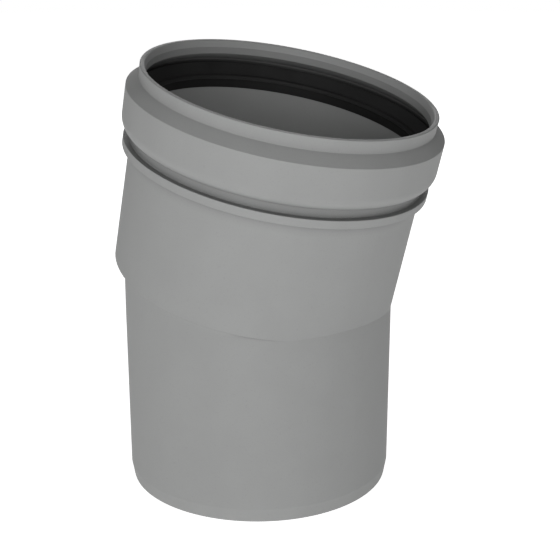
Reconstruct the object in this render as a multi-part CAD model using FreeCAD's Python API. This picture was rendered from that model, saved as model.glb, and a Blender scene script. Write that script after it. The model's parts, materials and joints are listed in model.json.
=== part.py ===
import FreeCAD, Part
import math
import os

# Push-fit drain bend, DN110, 15 degrees, one socket and one spigot.
#
# Frame, in millimetres: the origin is the centre of the spigot's end face, +Z runs up the spigot's
# axis, and the socket leans over towards +X.
#
# Everything on the socket side is round about the socket's own axis. Those pieces are drawn as
# half outlines of (radius, station) corners and turned about that axis. A station is the distance
# along the socket's axis from the point where it crosses the spigot's axis, positive towards the mouth.

Vector = FreeCAD.Vector

# The bend
BEND_ANGLE = 15.0             # degrees between the two axes
BEND_HEIGHT = 93.1            # spigot end to the crossing of the axes

# The spigot, the plain end that pushes into the next socket
SPIGOT_RADIUS = 55.0
SPIGOT_WALL = 2.7
SPIGOT_CHAMFER_DEPTH = 0.95
SPIGOT_CHAMFER_LENGTH = 5.5
SPIGOT_PARALLEL_END = 72.0    # the parallel stretch that a seal runs on ends just below the barrel
SPIGOT_DRAFT = 0.25           # how much the radius falls from there to the top of the step
STEP_TOP = 104.0              # just above the highest point of the step, on the outside of the bend

# The socket barrel, which takes the pipe
SOCKET_BORE_RADIUS = 55.33
BARREL_RADIUS = 58.0
BARREL_START = -7.1           # the step where the barrel stands out from the spigot
STOP_STATION = -3.8           # the ledge inside, where the pipe stops
BORE_TAPER_START = 34.4       # above this the bore opens slightly towards the body's end
BODY_END = 52.4
BODY_END_BORE_RADIUS = 56.6

# The rib round the barrel and the neck above it
RIB_RADIUS = 60.8
RIB_START = 40.85
RIB_END = 44.1
NECK_RADIUS = 58.3

# The collar that the cap grips, at the end of the neck
COLLAR_RADIUS = 59.35
COLLAR_START = 48.9
CAP_RUNNING_GAP = 0.07        # radial clearance between collar and cap
CAP_GRIP_RADIUS = COLLAR_RADIUS + CAP_RUNNING_GAP
CAP_SEAT_GAP = 0.2            # left between the collar's end and the cap's inner shoulder

# The seal retaining cap
CAP_RADIUS = 62.2
CAP_START = 47.0
CAP_TOE_ROUNDING = 5.5
CAP_SHOULDER_START = 64.2
CAP_SHOULDER_END = 68.05
LIP_BASE_RADIUS = 57.8
LIP_RIM_RADIUS = 57.95
CAP_END = 72.87
CHAMBER_RADIUS = 58.95
CHAMBER_ROOF_OUTER = 64.5
CHAMBER_ROOF_INNER = 67.45
MOUTH_CYLINDER_END = 70.25
LEAD_IN_RADIUS = 56.12
LEAD_IN_END = 72.47

# The rubber lip seal, in the shape it takes with a pipe in the socket
SEAL_SEAT_GAP = 0.15          # above the body's end face
SEAL_SIDE_GAP = 0.3           # inside the chamber wall
SEAL_BASE_BORE_RADIUS = 56.6
SEAL_END = 63.3
SEAL_LIP_RADIUS = 55.45       # just clear of the bore, as the pipe holds it
SEAL_LIP_TIP_START = 57.0
SEAL_LIP_TIP_END = 58.3
SEAL_LIP_ROOT = 56.0

# Small roundings
EDGE_ROUNDING = 0.4
RIB_ROUNDING = 0.25
CREASE_ROUNDING = 0.6

BEYOND = 10.0                 # how far a cutting shape runs past what it cuts


def corner_arc(before, corner, after, rounding):
    """Two tangent points and the middle point of the arc that rounds a corner."""
    to_before = (before - corner).normalize()
    to_after = (after - corner).normalize()
    half_angle = to_before.getAngle(to_after) / 2.0
    setback = rounding / math.tan(half_angle)
    bisector = (to_before + to_after).normalize()
    centre = corner + bisector * (rounding / math.sin(half_angle))
    first = corner + to_before * setback
    last = corner + to_after * setback
    return first, centre - bisector * rounding, last


def outline_face(corners):
    """A closed face in the XZ plane from (radius, station) or (radius, station, rounding) corners."""
    points = [Vector(corner[0], 0, corner[1]) for corner in corners]
    roundings = [corner[2] if len(corner) > 2 else 0.0 for corner in corners]
    count = len(points)
    pieces = []
    for index, rounding in enumerate(roundings):
        if rounding > 0.0:
            after = points[(index + 1) % count]
            pieces.append(corner_arc(points[index - 1], points[index], after, rounding))
        else:
            pieces.append((points[index],))
    edges = []
    for index, piece in enumerate(pieces):
        if len(piece) == 3:
            edges.append(Part.Arc(*piece).toShape())
        following = pieces[(index + 1) % count][0]
        edges.append(Part.LineSegment(piece[-1], following).toShape())
    return Part.Face(Part.Wire(edges))


def turned(corners):
    """The solid made by turning an outline once round the Z axis."""
    face = outline_face(corners)
    return face.revolve(Vector(0, 0, 0), Vector(0, 0, 1), 360)


def on_socket_axis(shape):
    """Carries a shape from the Z axis to the socket's axis."""
    placed = shape.copy()
    placed.rotate(Vector(0, 0, 0), Vector(0, 1, 0), BEND_ANGLE)
    placed.translate(Vector(0, 0, BEND_HEIGHT))
    return placed


def below_stop(shape):
    """Trims a spigot-side shape at the pipe stop, the plane where the socket's bore begins."""
    reach = 4.0 * SPIGOT_RADIUS
    block = Part.makeBox(reach, reach, reach, Vector(-reach / 2.0, -reach / 2.0, STOP_STATION))
    return shape.cut(on_socket_axis(block))


def spigot_outside():
    solid = turned([
        (0.0, 0.0),
        (SPIGOT_RADIUS - SPIGOT_CHAMFER_DEPTH, 0.0),
        (SPIGOT_RADIUS, SPIGOT_CHAMFER_LENGTH),
        (SPIGOT_RADIUS, SPIGOT_PARALLEL_END),
        (SPIGOT_RADIUS - SPIGOT_DRAFT, STEP_TOP),
        (0.0, STEP_TOP),
    ])
    return below_stop(solid)


def spigot_bore():
    radius = SPIGOT_RADIUS - SPIGOT_WALL
    bore = turned([
        (0.0, -BEYOND),
        (radius, -BEYOND),
        (radius, SPIGOT_PARALLEL_END),
        (radius - SPIGOT_DRAFT, STEP_TOP),
        (0.0, STEP_TOP),
    ])
    return below_stop(bore)


def barrel_outside():
    solid = turned([
        (0.0, BARREL_START),
        (BARREL_RADIUS, BARREL_START, EDGE_ROUNDING),
        (BARREL_RADIUS, RIB_START, EDGE_ROUNDING),
        (RIB_RADIUS, RIB_START, RIB_ROUNDING),
        (RIB_RADIUS, RIB_END, RIB_ROUNDING),
        (NECK_RADIUS, RIB_END, EDGE_ROUNDING),
        (NECK_RADIUS, COLLAR_START),
        (COLLAR_RADIUS, COLLAR_START + COLLAR_RADIUS - NECK_RADIUS),
        (COLLAR_RADIUS, BODY_END),
        (0.0, BODY_END),
    ])
    return on_socket_axis(solid)


def barrel_bore():
    bore = turned([
        (0.0, STOP_STATION),
        (SOCKET_BORE_RADIUS, STOP_STATION),
        (SOCKET_BORE_RADIUS, BORE_TAPER_START),
        (BODY_END_BORE_RADIUS, BODY_END),
        (BODY_END_BORE_RADIUS, BODY_END + BEYOND),
        (0.0, BODY_END + BEYOND),
    ])
    return on_socket_axis(bore)


def elbow_body():
    """The one-piece moulding: spigot, stepped barrel, rib, neck and collar."""
    outside = spigot_outside().fuse(barrel_outside())
    inside = spigot_bore().fuse(barrel_bore())
    return outside.cut(inside).removeSplitter()


def retaining_cap():
    """The bead that clips over the collar, holds the seal and forms the socket's mouth."""
    outside = turned([
        (0.0, CAP_START),
        (CAP_RADIUS, CAP_START, CAP_TOE_ROUNDING),
        (CAP_RADIUS, CAP_SHOULDER_START, EDGE_ROUNDING),
        (LIP_BASE_RADIUS, CAP_SHOULDER_END, EDGE_ROUNDING),
        (LIP_RIM_RADIUS, CAP_END, EDGE_ROUNDING),
        (0.0, CAP_END),
    ])
    shoulder = BODY_END + CAP_SEAT_GAP
    inside = turned([
        (0.0, CAP_START - BEYOND),
        (CAP_GRIP_RADIUS, CAP_START - BEYOND),
        (CAP_GRIP_RADIUS, shoulder),
        (CHAMBER_RADIUS, shoulder),
        (CHAMBER_RADIUS, CHAMBER_ROOF_OUTER, CREASE_ROUNDING),
        (SOCKET_BORE_RADIUS, CHAMBER_ROOF_INNER),
        (SOCKET_BORE_RADIUS, MOUTH_CYLINDER_END),
        (LEAD_IN_RADIUS, LEAD_IN_END),
        (LEAD_IN_RADIUS + EDGE_ROUNDING, CAP_END),
        (LEAD_IN_RADIUS + EDGE_ROUNDING, CAP_END + BEYOND),
        (0.0, CAP_END + BEYOND),
    ])
    return on_socket_axis(outside.cut(inside))


def lip_seal():
    """The rubber ring on the body's end face, with its lip pressed out by a pipe."""
    outer = CHAMBER_RADIUS - SEAL_SIDE_GAP
    ring = turned([
        (SEAL_BASE_BORE_RADIUS, BODY_END + SEAL_SEAT_GAP),
        (outer, BODY_END + SEAL_SEAT_GAP),
        (outer, SEAL_END, EDGE_ROUNDING),
        (outer - EDGE_ROUNDING - EDGE_ROUNDING, SEAL_END),
        (SEAL_LIP_RADIUS, SEAL_LIP_TIP_END, EDGE_ROUNDING),
        (SEAL_LIP_RADIUS, SEAL_LIP_TIP_START, EDGE_ROUNDING),
        (SEAL_BASE_BORE_RADIUS, SEAL_LIP_ROOT),
    ])
    return on_socket_axis(ring)


PIECES = {
    "elbow_body": elbow_body,
    "retaining_cap": retaining_cap,
    "lip_seal": lip_seal,
}


def main():
    os.makedirs("parts", exist_ok=True)
    for name, make in PIECES.items():
        shape = make()
        shape.exportStep(f"parts/{name}.step")
        print(name, shape.ShapeType, "valid", shape.isValid(), "solids", len(shape.Solids),
              "volume", round(shape.Volume), "box", shape.BoundBox)


main()
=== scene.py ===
import json
import math

import bmesh
import bpy
from mathutils import Matrix, Vector


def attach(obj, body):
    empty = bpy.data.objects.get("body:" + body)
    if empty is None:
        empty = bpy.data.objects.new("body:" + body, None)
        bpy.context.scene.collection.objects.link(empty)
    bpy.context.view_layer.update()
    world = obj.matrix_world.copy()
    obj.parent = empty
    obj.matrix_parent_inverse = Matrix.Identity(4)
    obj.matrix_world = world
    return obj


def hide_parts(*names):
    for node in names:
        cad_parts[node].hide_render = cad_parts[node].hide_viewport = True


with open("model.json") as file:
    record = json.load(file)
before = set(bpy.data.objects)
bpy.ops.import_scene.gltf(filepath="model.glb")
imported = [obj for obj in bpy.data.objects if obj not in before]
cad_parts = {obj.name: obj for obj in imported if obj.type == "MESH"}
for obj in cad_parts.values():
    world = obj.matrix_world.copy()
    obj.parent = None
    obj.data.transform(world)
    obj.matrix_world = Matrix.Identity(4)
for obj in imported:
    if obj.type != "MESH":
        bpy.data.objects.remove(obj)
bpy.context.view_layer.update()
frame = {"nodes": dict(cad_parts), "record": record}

# Sizes are in metres, on the frame's own axes.
MM = 0.001

# The camera: its place seen along its own heading, and its lens
CAMERA_AZIMUTH = math.radians(45.344)
CAMERA_PITCH = math.radians(15.809)
CAMERA_DISTANCE = 0.42208
CAMERA_SIDE = 0.00894
CAMERA_HEIGHT = 0.20155
SENSOR_WIDTH = 36.0
LENS = 67.84

# The light: where the lamps aim, how strongly the floor glows as seen and as it lights the part,
# more strongly inside the spigot, and the even light all round
TARGET = Vector((0, 0, 0.09))
FLOOR_REACH = 6.0
FLOOR_SEEN = 0.93
FLOOR_LIGHT = 0.5
FLOOR_LIGHT_INSIDE = 1.5
SPIGOT_INSIDE = (50 * MM, 52 * MM)      # the stretch over which the inside glow gives way
FLOOR_COLOUR = (0.8, 0.8, 0.8, 1)
ROOM_LIGHT = 0.14
WHITE = (1, 1, 1, 1)

# Shared by the materials: the stretch of a noise's values over which a look changes, and the finish
CLOUD_RANGE = (0.35, 0.65)
SHEEN_RANGE = (0.3, 0.7)
SPECK_RANGE = (0.60, 0.75)
SPECK_STRENGTH = 0.5
SPECULAR = 0.35
GRAIN_DEPTH = 0.1 * MM

# The grey plastic
PLASTIC_DARK = (0.329, 0.333, 0.330, 1)
PLASTIC_LIGHT = (0.341, 0.345, 0.342, 1)
PLASTIC_SPECK = (0.29, 0.293, 0.29, 1)
PLASTIC_ROUGHNESS = (0.52, 0.60)
# Painted shade in creases: how far the occlusion looks, and where on the body it is put
PLASTIC_CREASE_REACH = 5 * MM
FOOT = (10 * MM, 30 * MM)               # creases are shaded above this stretch of height
BORE_EDGE = (56.8 * MM, 57.2 * MM)      # and outside this radius about the socket's axis

# The black rubber
RUBBER_DARK = (0.016, 0.016, 0.016, 1)
RUBBER_LIGHT = (0.023, 0.023, 0.023, 1)
RUBBER_ROUGHNESS = (0.55, 0.7)
# Painted shade on the rubber: the reach of its crease shading, where under the lip the painted shade
# begins, and how dark it is there
RUBBER_CREASE_REACH = 2 * MM
UNDER_LIP = (4.2 * MM, 4.6 * MM)        # above the seal's seat, where its lip begins
UNDER_LIP_SHADE = 0.3

# Painted shade inside the cap. Each row has a stretch of the axis, in millimetres above the seal's top,
# and the shade reached at its end.
GAP_SHADE = 0.1
CAP_SHADES = (
    (0.2, 0.6, 0.25),                   # from the gap beside the seal to the chamber's wall
    (1.1, 1.6, 0.45),                   # to the chamber's sloping roof
    (3.9, 4.2, 0.72),                   # to the parallel part of the mouth
    (6.8, 7.0, 1.0),                    # to the lead-in
)
SHOULDER_SLOPE = 0.875                  # rise along the axis per radius lost, on shoulder and roof

# Where the painted shade of the cap's inside ends, as stretches from the seal's outer radius and from
# its top edge
CHAMBER_WALL = (0.5 * MM, 0.6 * MM)     # in radius, just past the chamber's wall
BORE_WALL = (-1.9 * MM, -1.8 * MM)      # in radius, between the mouth's bore and the outside
ROOF_SKIN = (2.4 * MM, 2.8 * MM)        # along the axis, between the roof and the shoulder

# How finely the turned pieces are made
TURN_STEPS = 288
ARC_STEPS = 8
SMOOTH_BELOW = math.radians(35)

# The relaxed seal, in millimetres
SEAL_LIP_RADIUS = 53.95
SEAL_BASE_RADIUS = 56.0
SEAL_SEAT_DROP = 0.12                   # its foot and top stand lower than the pressed seal's,
SEAL_TOP_DROP = 0.5
SEAL_SWELL = 0.15                       # and it fills the chamber a little more


# ---------------------------------------------------------------- places

def socket_axis():
    """A point on the socket's axis and the axis itself, from the record's socket mount."""
    mounts = frame["record"]["mounts"]
    socket = next(entry for entry in mounts if entry["name"] == "socket")
    return Vector(socket["pos_m"]), Vector(socket["axis"]).normalized()


def extent_on_axis(node):
    """Lowest station, highest station and outer radius of a node about the socket's axis."""
    point, axis = socket_axis()
    stations = []
    radii = []
    for vertex in frame["nodes"][node].data.vertices:
        offset = vertex.co - point
        station = offset.dot(axis)
        stations.append(station)
        radii.append((offset - station * axis).length)
    return min(stations), max(stations), max(radii)


# ---------------------------------------------------------------- camera, lights, floor

def heading(azimuth):
    """Unit vectors forward and to the right for a heading, 0 along +Y."""
    forward = Vector((-math.sin(azimuth), math.cos(azimuth), 0))
    right = Vector((math.cos(azimuth), math.sin(azimuth), 0))
    return forward, right


def make_camera():
    forward, right = heading(CAMERA_AZIMUTH)
    data = bpy.data.cameras.new("camera")
    data.sensor_width = SENSOR_WIDTH
    data.lens = LENS
    data.clip_start = 0.01
    data.clip_end = 50
    camera = bpy.data.objects.new("camera", data)
    camera.location = right * CAMERA_SIDE - forward * CAMERA_DISTANCE
    camera.location.z = CAMERA_HEIGHT
    camera.rotation_euler = (math.pi / 2 - CAMERA_PITCH, 0, CAMERA_AZIMUTH)
    bpy.context.scene.collection.objects.link(camera)
    bpy.context.scene.camera = camera


def softbox(name, azimuth, elevation, distance, width, tall, power):
    """An area light in the direction from which a viewer on this heading looks at the object."""
    forward, _ = heading(math.radians(azimuth))
    level = distance * math.cos(math.radians(elevation))
    data = bpy.data.lights.new(name, "AREA")
    data.shape = "RECTANGLE"
    data.size = width
    data.size_y = tall
    data.energy = power
    light = bpy.data.objects.new(name, data)
    light.location = TARGET - forward * level
    light.location.z += distance * math.sin(math.radians(elevation))
    light.rotation_euler = (TARGET - light.location).to_track_quat("-Z", "Y").to_euler()
    light.visible_camera = False
    bpy.context.scene.collection.objects.link(light)


def make_lights():
    softbox("front_left", azimuth=15, elevation=5, distance=1.2, width=0.7, tall=0.36, power=1.6)
    softbox("front", azimuth=45, elevation=5, distance=1.2, width=0.7, tall=0.36, power=4.75)
    softbox("left_fill", azimuth=315, elevation=25, distance=1.2, width=0.7, tall=0.36, power=0.8)
    softbox("rear", azimuth=225, elevation=25, distance=1.4, width=1.0, tall=0.5, power=5.0)


def background(nodes, strength):
    node = nodes.new("ShaderNodeBackground")
    node.inputs["Color"].default_value = WHITE
    node.inputs["Strength"].default_value = strength
    return node.outputs[0]


def make_world():
    """White surroundings, which light the part less than they are seen."""
    world = bpy.data.worlds.new("studio")
    bpy.context.scene.world = world
    world.use_nodes = True
    nodes = world.node_tree.nodes
    links = world.node_tree.links
    nodes.clear()
    output = nodes.new("ShaderNodeOutputWorld")
    mix = nodes.new("ShaderNodeMixShader")
    links.new(seen_by_camera(nodes), mix.inputs[0])
    links.new(background(nodes, ROOM_LIGHT), mix.inputs[1])
    links.new(background(nodes, 1.0), mix.inputs[2])
    links.new(mix.outputs[0], output.inputs[0])


def make_floor():
    """A pale sheet lit softly from beneath, like a light table."""
    mesh = bpy.data.meshes.new("floor")
    build = bmesh.new()
    bmesh.ops.create_grid(build, x_segments=1, y_segments=1, size=FLOOR_REACH)
    build.to_mesh(mesh)
    build.free()
    floor = bpy.data.objects.new("floor", mesh)
    bpy.context.scene.collection.objects.link(floor)
    material, nodes, links = new_material("pale_floor")
    shader = nodes["Principled BSDF"]
    shader.inputs["Base Color"].default_value = FLOOR_COLOUR
    shader.inputs["Roughness"].default_value = 0.9
    shader.inputs["Specular IOR Level"].default_value = 0.0
    shader.inputs["Emission Color"].default_value = WHITE
    from_centre = vector_math(nodes, links, "LENGTH", object_coords(nodes)).outputs["Value"]
    lighting = ramp(nodes, links, from_centre, *SPIGOT_INSIDE, FLOOR_LIGHT_INSIDE, FLOOR_LIGHT)
    glow = mix(nodes, links, "FLOAT", seen_by_camera(nodes), lighting, FLOOR_SEEN)
    links.new(glow, shader.inputs["Emission Strength"])
    mesh.materials.append(material)


# ---------------------------------------------------------------- nodes

def new_material(name):
    material = bpy.data.materials.new(name)
    material.use_nodes = True
    return material, material.node_tree.nodes, material.node_tree.links


def feed(links, socket, value):
    """Links a socket to another node's output, or sets it to a plain value."""
    if isinstance(value, bpy.types.NodeSocket):
        links.new(value, socket)
    else:
        socket.default_value = value


def object_coords(nodes):
    return nodes.new("ShaderNodeTexCoord").outputs["Object"]


def seen_by_camera(nodes):
    return nodes.new("ShaderNodeLightPath").outputs["Is Camera Ray"]


def noise(nodes, links, coords, scale, detail, roughness):
    node = nodes.new("ShaderNodeTexNoise")
    node.inputs["Scale"].default_value = scale
    node.inputs["Detail"].default_value = detail
    node.inputs["Roughness"].default_value = roughness
    links.new(coords, node.inputs["Vector"])
    return node.outputs["Fac"]


def ramp(nodes, links, value, low, high, from_value=0.0, to_value=1.0):
    """Maps low..high of a value to from_value..to_value."""
    node = nodes.new("ShaderNodeMapRange")
    node.inputs["From Min"].default_value = low
    node.inputs["From Max"].default_value = high
    node.inputs["To Min"].default_value = from_value
    node.inputs["To Max"].default_value = to_value
    links.new(value, node.inputs["Value"])
    return node.outputs["Result"]


def ramp_from(nodes, links, value, base, stretch, from_value=0.0, to_value=1.0):
    """Maps a stretch counted from a base value to from_value..to_value."""
    low, high = stretch
    return ramp(nodes, links, value, base + low, base + high, from_value, to_value)


def mix(nodes, links, kind, factor, first, second):
    """Blends two colours (kind RGBA) or two numbers (kind FLOAT)."""
    node = nodes.new("ShaderNodeMix")
    node.data_type = kind
    links.new(factor, node.inputs["Factor"])
    feed(links, node.inputs["A"], first)
    feed(links, node.inputs["B"], second)
    return node.outputs["Result"]


def arithmetic(nodes, links, operation, *values):
    """The result of one Math node on two or three values."""
    node = nodes.new("ShaderNodeMath")
    node.operation = operation
    for socket, value in zip(node.inputs, values):
        feed(links, socket, value)
    return node.outputs[0]


def vector_math(nodes, links, operation, *vectors):
    """One Vector Math node on one or two vectors."""
    node = nodes.new("ShaderNodeVectorMath")
    node.operation = operation
    for socket, value in zip(node.inputs, vectors):
        feed(links, socket, value)
    return node


def scaled_colour(nodes, links, colour, factor):
    node = vector_math(nodes, links, "SCALE", colour)
    links.new(factor, node.inputs["Scale"])
    return node.outputs["Vector"]


def about_socket(nodes, links, coords):
    """Station along the socket's axis from its mount, and the distance from that axis."""
    point, axis = socket_axis()
    offset = vector_math(nodes, links, "SUBTRACT", coords, point).outputs["Vector"]
    along = vector_math(nodes, links, "DOT_PRODUCT", offset, axis)
    across = vector_math(nodes, links, "CROSS_PRODUCT", offset, axis)
    radius = vector_math(nodes, links, "LENGTH", across.outputs["Vector"])
    return along.outputs["Value"], radius.outputs["Value"]


# ---------------------------------------------------------------- materials

def crease_painted_shade(nodes, links, reach, darkest, open_at, closed_at=0.1):
    """Painted shade: 1 in the open, falling to darkest where other surfaces stand close round a point.
    """
    near = nodes.new("ShaderNodeAmbientOcclusion")
    near.samples = 16
    near.inputs["Distance"].default_value = reach
    return ramp(nodes, links, near.outputs["AO"], closed_at, open_at, darkest, 1.0)


def only_outside(nodes, links, coords, factor):
    """Where the body's painted crease shade applies: the factor on its outside; 1 in its bore, and at
    the foot, which the floor would darken.
    """
    split = nodes.new("ShaderNodeSeparateXYZ")
    links.new(coords, split.inputs[0])
    above_foot = ramp(nodes, links, split.outputs["Z"], *FOOT)
    _, radius = about_socket(nodes, links, coords)
    out_of_bore = ramp(nodes, links, radius, *BORE_EDGE)
    outside = arithmetic(nodes, links, "MULTIPLY", above_foot, out_of_bore)
    return mix(nodes, links, "FLOAT", outside, 1.0, factor)


def mouth_painted_shade(nodes, links, coords):
    """Painted shade inside the cap: the seal's chamber and the parallel part of the mouth are darkened.
    """
    _, top, outer = extent_on_axis("lip_seal")
    station, radius = about_socket(nodes, links, coords)
    inside = GAP_SHADE
    reached = GAP_SHADE
    for start, end, shade in CAP_SHADES:
        step = ramp(nodes, links, station, top + start * MM, top + end * MM, 0.0, shade - reached)
        inside = arithmetic(nodes, links, "ADD", step, inside)
        reached = shade
    # The outer surfaces lie beyond the chamber's wall, or past a cone between roof and shoulder.
    slant = arithmetic(nodes, links, "MULTIPLY_ADD", radius, SHOULDER_SLOPE, station)
    roof = top + SHOULDER_SLOPE * outer
    beyond_wall = ramp_from(nodes, links, radius, outer, CHAMBER_WALL)
    beyond_cone = ramp_from(nodes, links, slant, roof, ROOF_SKIN)
    off_bore = ramp_from(nodes, links, radius, outer, BORE_WALL)
    beyond_cone = arithmetic(nodes, links, "MULTIPLY", beyond_cone, off_bore)
    outside = arithmetic(nodes, links, "MAXIMUM", beyond_wall, beyond_cone)
    return arithmetic(nodes, links, "MAXIMUM", inside, outside)


def grain(nodes, links, coords, shader, scale, strength):
    """A fine moulded grain as a bump."""
    bump = nodes.new("ShaderNodeBump")
    bump.inputs["Strength"].default_value = strength
    bump.inputs["Distance"].default_value = GRAIN_DEPTH
    height = noise(nodes, links, coords, scale=scale, detail=2, roughness=0.6)
    links.new(height, bump.inputs["Height"])
    links.new(bump.outputs["Normal"], shader.inputs["Normal"])


def grey_plastic(name, mouth):
    """Satin moulded grey plastic: faint flow clouding, fine filler specks and a moulded grain, with
    painted shade in its creases and, on the cap, inside its mouth.
    """
    material, nodes, links = new_material(name)
    shader = nodes["Principled BSDF"]
    coords = object_coords(nodes)
    cloud = noise(nodes, links, coords, scale=60, detail=3, roughness=0.5)
    specks = noise(nodes, links, coords, scale=1500, detail=2, roughness=0.5)
    speckled = ramp(nodes, links, specks, *SPECK_RANGE, 0.0, SPECK_STRENGTH)
    clouded = ramp(nodes, links, cloud, *CLOUD_RANGE)
    colour = mix(nodes, links, "RGBA", clouded, PLASTIC_DARK, PLASTIC_LIGHT)
    colour = mix(nodes, links, "RGBA", speckled, colour, PLASTIC_SPECK)
    # Painted shade: the colour is darkened in creases and where parts stand close, by ambient occlusion.
    painted_shade = crease_painted_shade(nodes, links, PLASTIC_CREASE_REACH, darkest=0.2, open_at=0.97)
    # On the cap the painted shade also darkens the seal's chamber and the mouth; on the body it stays on
    # the outside above the foot.
    if mouth:
        painted_shade = arithmetic(nodes, links, "MULTIPLY", painted_shade, mouth_painted_shade(nodes, links, coords))
    else:
        painted_shade = only_outside(nodes, links, coords, painted_shade)
    links.new(scaled_colour(nodes, links, colour, painted_shade), shader.inputs["Base Color"])
    links.new(ramp(nodes, links, cloud, *SHEEN_RANGE, *PLASTIC_ROUGHNESS), shader.inputs["Roughness"])
    shader.inputs["Specular IOR Level"].default_value = SPECULAR
    grain(nodes, links, coords, shader, scale=2600, strength=0.06)
    return material


def black_rubber(name):
    """Matt black rubber with a faint bloom and a fine grain, with painted shade in its creases and under
    its lip.
    """
    material, nodes, links = new_material(name)
    shader = nodes["Principled BSDF"]
    coords = object_coords(nodes)
    cloud = noise(nodes, links, coords, scale=90, detail=4, roughness=0.55)
    clouded = ramp(nodes, links, cloud, *CLOUD_RANGE)
    colour = mix(nodes, links, "RGBA", clouded, RUBBER_DARK, RUBBER_LIGHT)
    seat, _, _ = extent_on_axis("lip_seal")
    station, _ = about_socket(nodes, links, coords)
    # Painted shade: the rubber under its lip is darkened to UNDER_LIP_SHADE of its colour.
    under_lip_painted_shade = ramp_from(nodes, links, station, seat, UNDER_LIP, UNDER_LIP_SHADE, 1.0)
    # Painted shade in the rubber's creases, by ambient occlusion.
    painted_shade = crease_painted_shade(nodes, links, RUBBER_CREASE_REACH, darkest=0.3, open_at=0.9)
    painted_shade = arithmetic(nodes, links, "MULTIPLY", painted_shade, under_lip_painted_shade)
    links.new(scaled_colour(nodes, links, colour, painted_shade), shader.inputs["Base Color"])
    links.new(ramp(nodes, links, cloud, *SHEEN_RANGE, *RUBBER_ROUGHNESS), shader.inputs["Roughness"])
    shader.inputs["Specular IOR Level"].default_value = SPECULAR
    grain(nodes, links, coords, shader, scale=3000, strength=0.1)
    return material


def repaint(node, material):
    for slot in frame["nodes"][node].material_slots:
        slot.material = material


# ---------------------------------------------------------------- the seal

def rounded(corners):
    """Section points from (radius, station, rounding) corners, each rounding as an arc."""
    points = []
    count = len(corners)
    for index, (radius, station, rounding) in enumerate(corners):
        corner = Vector((radius, station))
        before = Vector(corners[index - 1][:2])
        after = Vector(corners[(index + 1) % count][:2])
        to_before = (before - corner).normalized()
        to_after = (after - corner).normalized()
        half = to_before.angle(to_after) / 2
        centre = corner + (to_before + to_after).normalized() * (rounding / math.sin(half))
        start = corner + to_before * (rounding / math.tan(half)) - centre
        end = corner + to_after * (rounding / math.tan(half)) - centre
        sweep = start.angle_signed(end)
        for step in range(ARC_STEPS + 1):
            turn = Matrix.Rotation(-sweep * step / ARC_STEPS, 2)
            points.append(centre + turn @ start)
    return points


def turned(name, section, material):
    """A ring turned about the socket's axis from a closed section in millimetres."""
    point, axis = socket_axis()
    across = axis.orthogonal().normalized()
    build = bmesh.new()
    rings = []
    for step in range(TURN_STEPS):
        outward = Matrix.Rotation(2 * math.pi * step / TURN_STEPS, 3, axis) @ across
        rings.append([build.verts.new(point + axis * (s * MM) + outward * (r * MM)) for r, s in section])
    for step, ring in enumerate(rings):
        following = rings[(step + 1) % TURN_STEPS]
        for index, vertex in enumerate(ring):
            after = (index + 1) % len(ring)
            build.faces.new((vertex, ring[after], following[after], following[index]))
    bmesh.ops.recalc_face_normals(build, faces=build.faces)
    mesh = bpy.data.meshes.new(name)
    build.to_mesh(mesh)
    build.free()
    mesh.materials.append(material)
    piece = bpy.data.objects.new(name, mesh)
    bpy.context.scene.collection.objects.link(piece)
    for polygon in mesh.polygons:
        polygon.use_smooth = True
    mesh.set_sharp_from_angle(angle=SMOOTH_BELOW)
    return piece


def make_seal(material):
    """The rubber ring with its lip relaxed, as it stands with no pipe in the socket."""
    seat, top, outer = extent_on_axis("lip_seal")
    seat = seat / MM - SEAL_SEAT_DROP
    top = top / MM - SEAL_TOP_DROP
    outer = outer / MM + SEAL_SWELL
    lip = SEAL_LIP_RADIUS
    section = rounded([
        (SEAL_BASE_RADIUS, seat, 0.1),
        (outer, seat, 0.3),
        (outer, top, 0.2),
        (outer - 0.6, top, 0.2),
        (lip + 1.35, seat + 6.2, 0.1),
        (lip + 0.85, seat + 6.15, 0.15),
        (lip, seat + 5.75, 0.5),
        (lip, seat + 4.2, 0.6),
        (lip + 1.5, seat + 4.35, 0.3),
        (SEAL_BASE_RADIUS, seat + 4.6, 0.5),
    ])
    seal = turned("lip_seal_relaxed", section, material)
    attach(seal, "seal")
    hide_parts("lip_seal")


# ---------------------------------------------------------------- making it all

make_camera()
make_world()
make_lights()
make_floor()
repaint("elbow_body", grey_plastic("grey_plastic_body", mouth=False))
repaint("retaining_cap", grey_plastic("grey_plastic_cap", mouth=True))
make_seal(black_rubber("black_rubber"))

bpy.context.scene.view_settings.view_transform = "Standard"
